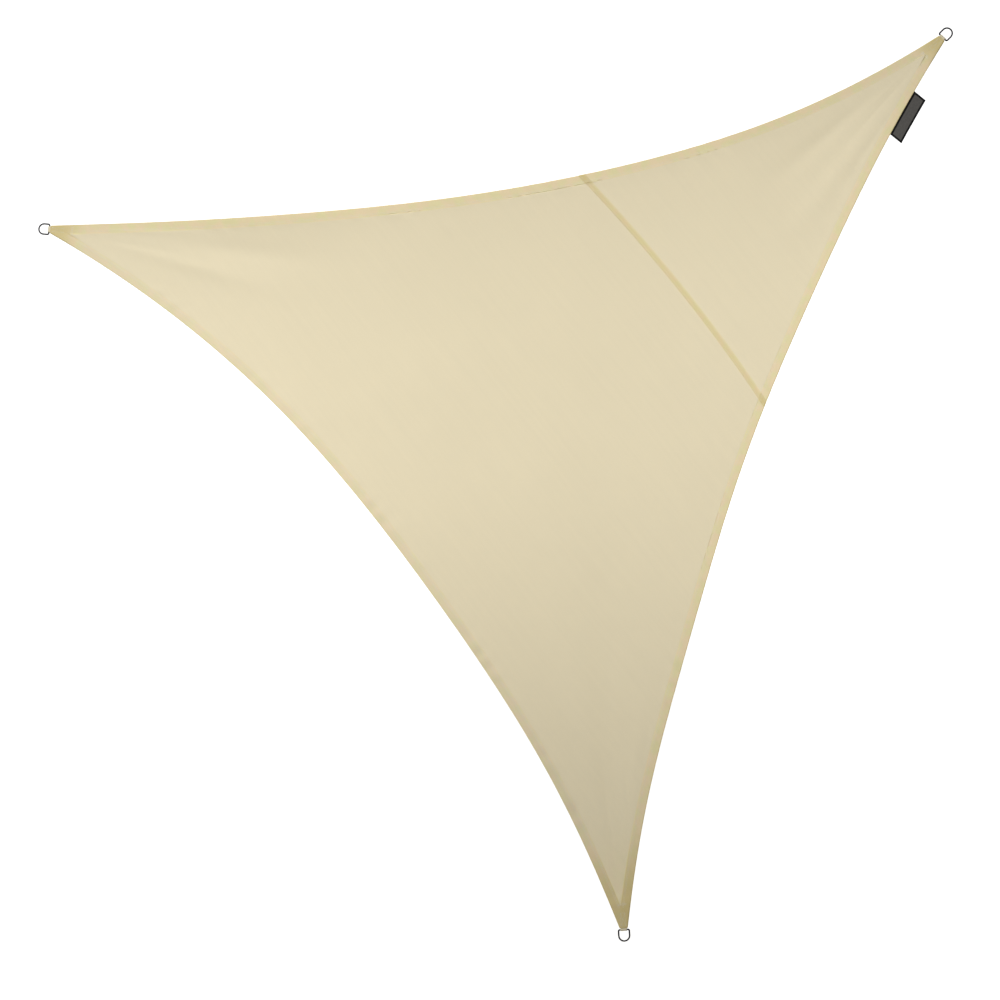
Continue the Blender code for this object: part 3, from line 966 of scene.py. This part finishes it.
def d_ring(name, place):
    bar_x = -RING_HALF_LENGTH
    bend_y = RING_HALF_WIDTH - RING_BEND
    crown_x = RING_HALF_LENGTH - RING_HALF_WIDTH
    leg = crown_x - bar_x - RING_BEND
    bm = bmesh.new()
    stand = Matrix.Translation((bar_x, 0.0, 0.0)) @ Matrix.Rotation(math.pi / 2, 4, "X")
    bmesh.ops.create_circle(bm, segments=WIRE_FACETS, radius=WIRE / 2, matrix=stand)
    end = list(bm.edges)

    def push(end, step):
        made = bmesh.ops.extrude_edge_only(bm, edges=end)["geom"]
        moved = [item for item in made if isinstance(item, bmesh.types.BMVert)]
        bmesh.ops.translate(bm, vec=step, verts=moved)
        return [item for item in made if isinstance(item, bmesh.types.BMEdge)
                and all(vert in moved for vert in item.verts)]

    def bend(end, centre, angle, steps):
        spun = bmesh.ops.spin(bm, geom=end, cent=centre, axis=(0, 0, 1), angle=-angle,
                              steps=steps, use_merge=False)
        return [item for item in spun["geom_last"] if isinstance(item, bmesh.types.BMEdge)]

    end = push(end, (0.0, bend_y, 0.0))
    end = bend(end, (bar_x + RING_BEND, bend_y, 0.0), math.pi / 2, BEND_STEPS)
    end = push(end, (leg, 0.0, 0.0))
    end = bend(end, (crown_x, 0.0, 0.0), math.pi, CROWN_STEPS)
    end = push(end, (-leg, 0.0, 0.0))
    end = bend(end, (bar_x + RING_BEND, -bend_y, 0.0), math.pi / 2, BEND_STEPS)
    push(end, (0.0, bend_y, 0.0))
    bmesh.ops.remove_doubles(bm, verts=bm.verts, dist=WELD)
    bmesh.ops.recalc_face_normals(bm, faces=bm.faces)
    bmesh.ops.transform(bm, matrix=place, verts=bm.verts)
    return add_object(name, bm)


rings = {name: d_ring(f"d_ring_{name}", corner_frame(corner)) for name, corner in corners.items()}

# %% [markdown]
# ## The webbing
# A strip of webbing goes round the bar of each ring, pinches together behind it and runs
# between the layers of the corner, where the box of stitches holds it. The strip is a grid
# again: its rows follow the loop's line and its columns go across.

# %% Strap loops
STRAP_CELLS = 8
LEG_STEPS, SLOPE_STEPS, LOOP_STEPS = 10, 3, 32
SELVEDGE = 0.7  # the strip's edges are this much of its thickness
STRAP_LOOSE = 0.00005  # the strip is this much thinner than its room


def loop_line():
    """The middle of the strip, as points (outwards, up), from one leg's end to the other's."""
    bar_x = -RING_HALF_LENGTH
    radius = WIRE / 2 + GAP + STRAP_THICK / 2
    turn = math.pi / 2 + STRAP_PINCH
    leg_z = STRAP_THICK / 2
    leave = (bar_x + radius * math.cos(turn), radius * math.sin(turn))
    meet = (leave[0] - (leave[1] - leg_z) / math.tan(STRAP_PINCH), leg_z)
    end = (-(TIP_BACK + STRAP_IN), leg_z)
    upper = [Vector(mix(Vector(end), Vector(meet), share)) for share in even(LEG_STEPS)]
    upper += [mix(Vector(meet), Vector(leave), share) for share in even(SLOPE_STEPS)[1:-1]]
    angles = [mix(turn, -turn, share) for share in even(LOOP_STEPS)]
    arc = [Vector((bar_x + radius * math.cos(a), radius * math.sin(a))) for a in angles]
    return upper + arc + [Vector((point.x, -point.y)) for point in reversed(upper)]


def strap_loop(name, place):
    line = loop_line()
    along = [0.0]
    for first, second in zip(line, line[1:]):
        along.append(along[-1] + (second - first).length)
    bm = bmesh.new()
    thick = bm.verts.layers.deform.verify()
    strip = bm.loops.layers.uv.new("strip")
    grid = bmesh.ops.create_grid(bm, x_segments=STRAP_CELLS, y_segments=len(line) - 1, size=0.5)
    for vert in grid["verts"]:
        row = round((vert.co.y + 0.5) * (len(line) - 1))
        across = vert.co.x * STRAP_WIDTH
        for loop in vert.link_loops:
            loop[strip].uv = (across, along[row])
        on_edge = abs(vert.co.x) > 0.5 - 0.5 / STRAP_CELLS
        vert[thick][0] = SELVEDGE if on_edge else 1.0
        vert.co = (line[row].x, across, line[row].y)
    bmesh.ops.transform(bm, matrix=place, verts=bm.verts)
    strap = add_object(name, bm)
    strap.vertex_groups.new(name="thickness")
    solidify = strap.modifiers.new("Thickness", "SOLIDIFY")
    solidify.thickness = STRAP_THICK - STRAP_LOOSE
    solidify.offset = 0.0
    solidify.vertex_group = "thickness"
    return strap, along[-1]


straps = {}
for name, corner in corners.items():
    straps[name], strap_length = strap_loop(f"strap_loop_{name}", corner_frame(corner))
print(f"Each strap is {strap_length * 1000:.0f} mm of webbing")

# %% [markdown]
# ## The side tab
# Under the hem of the right side sits a woven tab, folded over at its free edge. On this
# part it is bare: only its weave and its darker border show. It is the hem's section once
# more, on a smaller scale, and its free edge curls down a little.

# %% Side tab
TAB_START = 0.178  # from the cut end of the high corner
TAB_LENGTH = 0.153
TAB_WIDTH = 0.047
TAB_TUCK = 0.010
TAB_THICK = 0.0010
TAB_GAP = 0.0009
TAB_SKEW = math.radians(12)
TAB_CURL = 0.003
TAB_LAYER = 0.00042
TAB_CELLS = 40
TAB_OUT_CELLS = 14
TAB_RIPPLE = 0.0004
TAB_RIPPLES = 1.4  # along its length
TAB_FOLD_ANGLES = (60, 20, -20, -60)


def woven_tab(name):
    middle = right.direction((TAB_START + TAB_LENGTH / 2) / right.length)
    outward = Matrix.Rotation(-TAB_SKEW, 2) @ left_of(middle)
    under = CLOTH + TAB_GAP + TAB_THICK / 2
    half = (TAB_THICK - TAB_LAYER) / 2
    reach = TAB_WIDTH - half - TAB_LAYER / 2
    outs = [mix(-TAB_TUCK, reach, share) for share in even(TAB_OUT_CELLS)]
    section = [(out, 90) for out in outs]
    section += [(reach, angle) for angle in TAB_FOLD_ANGLES]
    section += [(out, -90) for out in reversed(outs)]
    bm = bmesh.new()
    ribbon = bm.loops.layers.uv.new("ribbon")
    stations = len(section) - 1
    grid = bmesh.ops.create_grid(bm, x_segments=TAB_CELLS, y_segments=stations, size=0.5)
    for vert in grid["verts"]:
        along = vert.co.x + 0.5
        out, angle = section[round((vert.co.y + 0.5) * stations)]
        out += half * math.cos(math.radians(angle))
        for loop in vert.link_loops:
            loop[ribbon].uv = (along * TAB_LENGTH, out)
        edge = right.at((TAB_START + TAB_LENGTH * along) / right.length)
        spot = surface(edge + outward * out)
        free = max(out, 0.0) / TAB_WIDTH
        spot.z -= under + TAB_CURL * free**2
        spot.z += TAB_RIPPLE * free * math.sin(math.tau * TAB_RIPPLES * along)
        spot.z += half * math.sin(math.radians(angle))
        vert.co = spot
    bmesh.ops.recalc_face_normals(bm, faces=bm.faces)
    bmesh.ops.transform(bm, matrix=PLANE, verts=bm.verts)
    tab = add_object(name, bm)
    solidify = tab.modifiers.new("Thickness", "SOLIDIFY")
    solidify.thickness = TAB_LAYER
    solidify.offset = 0.0
    return tab


tab = woven_tab("woven_tab")

# %% [markdown]
# ## Shader maths as expressions
# A weave is arithmetic on a place: waves across, waves along, their product. Each sum is a
# Math node, and dozens of them are hard to read as wires. The small class below wraps a
# socket, so that `0.5 + 0.5 * wave` adds the nodes and the recipe stays readable.

# %% Numbers and finishes


class Number:
    """A number that changes over a surface: an expression on it adds Math nodes."""

    def __init__(self, finish, socket):
        self.finish = finish
        self.socket = socket

    def math(self, operation, *values):
        made = self.finish.node("Math", {"operation": operation}, dict(enumerate(values)))
        return Number(self.finish, made.outputs[0])

    def __add__(self, other):
        return self.math("ADD", self, other)

    def __radd__(self, other):
        return self.math("ADD", other, self)

    def __sub__(self, other):
        return self.math("SUBTRACT", self, other)

    def __rsub__(self, other):
        return self.math("SUBTRACT", other, self)

    def __mul__(self, other):
        return self.math("MULTIPLY", self, other)

    def __rmul__(self, other):
        return self.math("MULTIPLY", other, self)

    def __pow__(self, other):
        return self.math("POWER", self, other)

    def wave(self, pitch):
        """From 0 to 1 and back once every pitch."""
        return 0.5 + 0.5 * (self * (math.tau / pitch)).math_of("COSINE")

    def math_of(self, operation):
        return self.math(operation, self)

    def between(self, low, high):
        """0 at low and below, 1 at high and above."""
        settings = {"interpolation_type": "SMOOTHSTEP"}
        sockets = {"Value": self, "From Min": low, "From Max": high}
        made = self.finish.node("MapRange", settings, sockets)
        return Number(self.finish, made.outputs[0])


class Finish:
    """A material, with its Principled shader and one way to add any other node."""

    def __init__(self, name, constants):
        self.material = bpy.data.materials.new(name)
        self.material.use_nodes = True
        self.tree = self.material.node_tree
        self.shader = self.tree.nodes["Principled BSDF"]
        self.feed(self.shader, constants)

    def feed(self, node, sockets):
        """Sets sockets to values, or links them to other sockets."""
        for key, value in sockets.items():
            source = value.socket if isinstance(value, Number) else value
            if isinstance(source, bpy.types.NodeSocket):
                self.tree.links.new(source, node.inputs[key])
            else:
                node.inputs[key].default_value = source

    def node(self, kind, settings, sockets):
        made = self.tree.nodes.new("ShaderNode" + kind)
        for key, value in settings.items():
            setattr(made, key, value)
        self.feed(made, sockets)
        return made

    def place(self, uv_map):
        """The two numbers of a UV map, in metres."""
        source = self.node("UVMap", {"uv_map": uv_map}, {})
        split = self.node("SeparateXYZ", {}, {0: source.outputs[0]})
        return Number(self, split.outputs[0]), Number(self, split.outputs[1])

    def attribute(self, name):
        return Number(self, self.node("Attribute", {"attribute_name": name}, {}).outputs["Fac"])

    def noise(self, across, along, detail=3.0):
        """Uneven from 0 to 1, over patches of about one unit of the two numbers."""
        vector = self.node("CombineXYZ", {}, {0: across, 1: along})
        sockets = {"Vector": vector.outputs[0], "Scale": 1.0, "Detail": detail}
        return Number(self, self.node("TexNoise", {}, sockets).outputs[0])

    def blend(self, factor, first, second):
        """The colour this share of the way from the first to the second."""
        made = self.node("Mix", {"data_type": "RGBA"}, {0: factor, 6: first, 7: second})
        return made.outputs[2]

    def relief(self, height, depth, strength=1.0):
        """Raises and sinks the shading by up to this depth in metres."""
        sockets = {"Strength": strength, "Distance": depth, "Height": height}
        bump = self.node("Bump", {}, sockets)
        self.feed(self.shader, {"Normal": bump.outputs[0]})


print("Expressions on a Number add Math nodes")

# %% [markdown]
# ## Knitted shade cloth
# Shade cloth is knitted from round and flat plastic yarn: straight chains run along the roll
# and a flat tape zigzags between them, with small gaps that let the air through. An image
# would blur up close; here the chains are one wave across the roll and the zigzag another
# whose phase swings with it. Where layers lie on each other less light comes through, and
# the sand colour is painted deeper for it, as painted shade, by the count of layers that each
# point of the cloth carries.
# Part of the light goes through the cloth, which a Translucent shader mixed in gives.

# %% Sand knit
CHAIN_PITCH = 0.0026
TAPE_PITCH = 0.0034
SAND = (0.815, 0.735, 0.542, 1.0)
# The deeper colour of doubled cloth: painted shade for the light that two layers hold back, in warm
# and green patches.
SAND_WARM = (0.900, 0.750, 0.495, 1.0)
SAND_GREEN = (0.850, 0.775, 0.455, 1.0)
SAND_PAINTED_SHADE = (0.730, 0.600, 0.270, 1.0)
SAND_THROUGH = (0.80, 0.74, 0.54, 1.0)
SHARE_THROUGH = 0.25
TAPE_SWING = 3.0  # how far the tape zigzags, in radians
KNIT_DEPTH = 0.0005
PATCHES = 28  # green and warm patches on doubled cloth, to a metre
PATCH_LOW, PATCH_HIGH = 0.35, 0.65
SHADE_PER_EXTRA_LAYER = 0.4  # this much with each layer past two


def sand_knit():
    cloth = Finish("sand_knit", {"Roughness": 0.82, "Specular IOR Level": 0.25})
    across, along = cloth.place("roll")
    layers = cloth.attribute("layers")
    chain = across.wave(CHAIN_PITCH)
    swing = across.wave(2 * CHAIN_PITCH)
    tape = (along * (math.tau / TAPE_PITCH) + TAPE_SWING * swing).math_of("SINE") * 0.5 + 0.5
    knit = chain * 0.6 + tape * (1 - chain) * 0.55
    streaks = cloth.noise(across * 90, along * 2.5)
    clouds = cloth.noise(across * 3, along * 3)
    tone = 0.90 + 0.06 * knit + 0.05 * streaks + 0.05 * clouds
    patches = cloth.noise(across * PATCHES, along * PATCHES, 1.0).between(PATCH_LOW, PATCH_HIGH)
    # Doubled cloth is painted deeper as painted shade; past two layers it blends towards the
    # painted-shade colour.
    doubled = cloth.blend(patches, SAND_WARM, SAND_GREEN)
    deep = cloth.blend(layers - 1, SAND, doubled)
    dark = cloth.blend((layers - 2) * SHADE_PER_EXTRA_LAYER, deep, SAND_PAINTED_SHADE)
    scaled = cloth.node("VectorMath", {"operation": "SCALE"}, {0: dark, "Scale": tone})
    cloth.feed(cloth.shader, {"Base Color": scaled.outputs[0]})
    cloth.relief(knit, KNIT_DEPTH, 0.6)
    through = cloth.node("BsdfTranslucent", {}, {"Color": SAND_THROUGH})
    both = cloth.node("MixShader", {}, {0: SHARE_THROUGH})
    cloth.feed(both, {1: cloth.shader.outputs[0], 2: through.outputs[0]})
    output = cloth.tree.nodes["Material Output"]
    cloth.feed(output, {"Surface": both.outputs[0]})
    return cloth.material


knit_material = sand_knit()
print("The sand knit takes", len(knit_material.node_tree.nodes), "nodes")

# %% [markdown]
# ## Thread, webbing, steel and ribbon
# The thread is twisted, so fine slanted lines run round each stitch. The webbing is a
# herringbone of thick yarn. The rings are polished steel with a near-black base colour, a
# painted dark reflection, and fine scratches in its gloss, and the tab is a ribbed charcoal
# ribbon with a near-black border.

# %% Other finishes
THREAD_TWIST = 0.0006
THREAD_DARK, THREAD_PALE = (0.56, 0.48, 0.31, 1.0), (0.76, 0.68, 0.48, 1.0)
YARN_PITCH, SLANT_PITCH = 0.0016, 0.0022
YARN_DARK, YARN_PALE = (0.50, 0.42, 0.25, 1.0), (0.86, 0.79, 0.58, 1.0)
SCRATCHES = (900.0, 900.0, 2600.0)  # to a metre, along each axis
# The steel's near-black base colour is a painted dark reflection; the scratches are a little paler.
STEEL_DARK, STEEL_PALE = (0.005, 0.005, 0.006, 1.0), (0.020, 0.020, 0.022, 1.0)
RIB_PITCH, WEFT_PITCH = 0.0009, 0.0006
BORDER = 0.0065
BORDER_SOFT = 0.0006
BORDER_BLACK = (0.003, 0.003, 0.003, 1.0)
FIELD_DARK, FIELD_PALE = (0.058, 0.055, 0.051, 1.0), (0.100, 0.094, 0.087, 1.0)


def pale_thread():
    thread = Finish("pale_thread", {"Roughness": 0.55, "Specular IOR Level": 0.35})
    split = thread.node("SeparateXYZ", {}, {0: object_place(thread)})
    x, y, z = (Number(thread, split.outputs[index]) for index in range(3))
    twist = (x + y + z * 0.6).wave(THREAD_TWIST)
    tone = thread.blend(twist, THREAD_DARK, THREAD_PALE)
    thread.feed(thread.shader, {"Base Color": tone})
    thread.relief(twist, 0.0001, 0.5)
    return thread.material


def object_place(finish):
    return finish.node("TexCoord", {}, {}).outputs["Object"]


def herringbone():
    webbing = Finish("sand_webbing", {"Roughness": 0.75, "Specular IOR Level": 0.3})
    across, along = webbing.place("strip")
    yarn = along.wave(YARN_PITCH)
    slant = (across * 2 + along).wave(SLANT_PITCH)
    weave = yarn * 0.45 + slant * 0.55
    worn = webbing.noise(across * 300, along * 120)
    tone = webbing.blend(0.75 * weave + 0.25 * worn, YARN_DARK, YARN_PALE)
    webbing.feed(webbing.shader, {"Base Color": tone})
    webbing.relief(weave, 0.0003, 0.8)
    return webbing.material


def steel_painted_dark():
    steel = Finish("steel_painted_dark", {"Metallic": 1.0})
    place = object_place(steel)
    stretched = steel.node("VectorMath", {"operation": "MULTIPLY"}, {0: place, 1: SCRATCHES})
    sockets = {"Vector": stretched.outputs[0], "Scale": 1.0, "Detail": 4.0}
    scratches = Number(steel, steel.node("TexNoise", {}, sockets).outputs[0])
    tone = steel.blend(scratches, STEEL_DARK, STEEL_PALE)
    steel.feed(steel.shader, {"Base Color": tone, "Roughness": 0.22 + 0.16 * scratches})
    steel.relief(scratches, 0.00004, 0.3)
    return steel.material


def charcoal_ribbon():
    ribbon = Finish("charcoal_ribbon", {"Roughness": 0.70, "Specular IOR Level": 0.10})
    along, out = ribbon.place("ribbon")
    rib = along.wave(RIB_PITCH)
    weft = out.wave(WEFT_PITCH)
    to_end = along.math("MINIMUM", along, TAB_LENGTH - along)
    to_edge = out.math("MINIMUM", out, TAB_WIDTH - out)
    to_rim = to_end.math("MINIMUM", to_end, to_edge)
    inside = to_rim.between(BORDER - BORDER_SOFT, BORDER + BORDER_SOFT)
    uneven = ribbon.noise(along * 160, out * 160)
    field = ribbon.blend(uneven, FIELD_DARK, FIELD_PALE)
    tone = ribbon.blend(inside, BORDER_BLACK, field)
    ribbon.feed(ribbon.shader, {"Base Color": tone})
    ribbon.relief(rib * 0.7 + weft * 0.3, 0.00015, 0.7)
    return ribbon.material


def wear(pieces, finish):
    for piece in pieces:
        piece.data.materials.append(finish)


threads = [*hem_threads, seam_threads, corner_threads]
wear([panel_main, panel_corner], knit_material)
wear(threads, pale_thread())
wear(straps.values(), herringbone())
wear(rings.values(), steel_painted_dark())
wear([tab], charcoal_ribbon())
print("Finishes:", ", ".join(sorted(material.name for material in bpy.data.materials)))

# %% [markdown]
# ## A white floor and soft light
# The sail is shown over plain white, lit from above by a large soft lamp on its left, so the
# low corner, which tips away from it, is the darkest, deepened further by painted shade in the
# cloth's colour. The floor glows a little, as a lit paper backdrop does, and from below it lets
# the view through.

# %% Floor and light
FLOOR_Z = -2.6
FLOOR_SIZE = 60.0
FLOOR_GLOW = 0.80
PAPER_WHITE = (0.92, 0.92, 0.92, 1.0)
PURE_WHITE = (1.0, 1.0, 1.0, 1.0)
KEY_PLACE, KEY_AIM = (-2.57, 0.47, 3.03), (-1.53, -1.03, -0.80)
KEY_SIZE = 1.2
KEY_POWER = 72.0
KEY_SPREAD = math.radians(114)
SKY_STRENGTH = 0.25


def white_floor():
    bm = bmesh.new()
    bmesh.ops.create_grid(bm, x_segments=1, y_segments=1, size=FLOOR_SIZE / 2)
    bmesh.ops.translate(bm, vec=(0.0, 0.0, FLOOR_Z), verts=bm.verts)
    floor = add_object("floor", bm, smooth=False)
    glow = {"Emission Color": PURE_WHITE, "Emission Strength": FLOOR_GLOW}
    paper = Finish("white_paper", {"Base Color": PAPER_WHITE, "Roughness": 0.9, **glow})
    side = paper.node("NewGeometry", {}, {}).outputs["Backfacing"]
    clear = paper.node("BsdfTransparent", {}, {})
    both = paper.node("MixShader", {}, {0: side, 1: paper.shader.outputs[0], 2: clear.outputs[0]})
    paper.feed(paper.tree.nodes["Material Output"], {"Surface": both.outputs[0]})
    floor.data.materials.append(paper.material)
    return floor


def soft_lamp(name):
    lamp = bpy.data.lights.new(name, "AREA")
    lamp.shape = "DISK"
    lamp.size = KEY_SIZE
    lamp.energy = KEY_POWER
    lamp.spread = KEY_SPREAD
    holder = bpy.data.objects.new(name, lamp)
    holder.location = KEY_PLACE
    way = Vector(KEY_AIM) - Vector(KEY_PLACE)
    holder.rotation_euler = way.to_track_quat("-Z", "Y").to_euler()
    holder.visible_camera = False
    bpy.context.scene.collection.objects.link(holder)


floor = white_floor()
soft_lamp("key_lamp")
world = bpy.data.worlds.new("studio")
world.use_nodes = True
sky = world.node_tree.nodes["Background"]
sky.inputs["Color"].default_value = PURE_WHITE
sky.inputs["Strength"].default_value = SKY_STRENGTH
bpy.context.scene.world = world
bpy.context.scene.view_settings.view_transform = "Standard"
print("A lamp, a pale sky and a white floor")

# %% [markdown]
# ## The camera
# A long lens from high in front, as in a product picture: it looks down at 60 degrees, a
# little from the left. Its turn, rise and distance were found by matching the three rings
# and the ends of the seam. The matrix is built from the directions right, up and back.

# %% Camera
LENS = 135.0
CAMERA_TURN = math.radians(-4.6222)
CAMERA_RISE = math.radians(59.9669)
CAMERA_ROLL = math.radians(-0.2903)
CAMERA_PLACE = Vector((-1.9851, -7.0291, 9.4788))

level = math.cos(CAMERA_RISE)
ahead = Vector((-math.sin(CAMERA_TURN), math.cos(CAMERA_TURN), 0.0))
forward = ahead * level - Vector((0.0, 0.0, math.sin(CAMERA_RISE)))
right_hand = forward.cross(Vector((0.0, 0.0, 1.0))).normalized()
upward = right_hand.cross(forward)
rolled_right = right_hand * math.cos(CAMERA_ROLL) + upward * math.sin(CAMERA_ROLL)
rolled_up = upward * math.cos(CAMERA_ROLL) - right_hand * math.sin(CAMERA_ROLL)
turned = Matrix((rolled_right, rolled_up, -forward)).transposed().to_4x4()
camera = bpy.data.objects.new("camera", bpy.data.cameras.new("camera"))
camera.data.lens = LENS
camera.data.clip_end = 100.0
camera.matrix_world = Matrix.Translation(CAMERA_PLACE) @ turned
bpy.context.scene.collection.objects.link(camera)
bpy.context.scene.camera = camera
print(f"Camera {CAMERA_PLACE.length:.1f} m from the high ring, lens {LENS:.0f} mm")

# %% [markdown]
# ## Handing the pieces over
# Each piece rides on the one body, and the plain solid that it stands for is hidden. The
# panels include the cloth turned under in their hems.

# %% Riding, and replaced solids hidden
for piece in [panel_main, panel_corner, *threads]:
    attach(piece, "root")
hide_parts("panel_main")
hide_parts("panel_corner")
for name in corners:
    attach(rings[name], "root")
    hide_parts("ring_" + name)
    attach(straps[name], "root")
    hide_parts("strap_" + name)
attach(tab, "root")
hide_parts("side_tab")
handed_over = [panel_main, panel_corner, *threads, *rings.values(), *straps.values(), tab]
print("Pieces handed over:", len(handed_over))
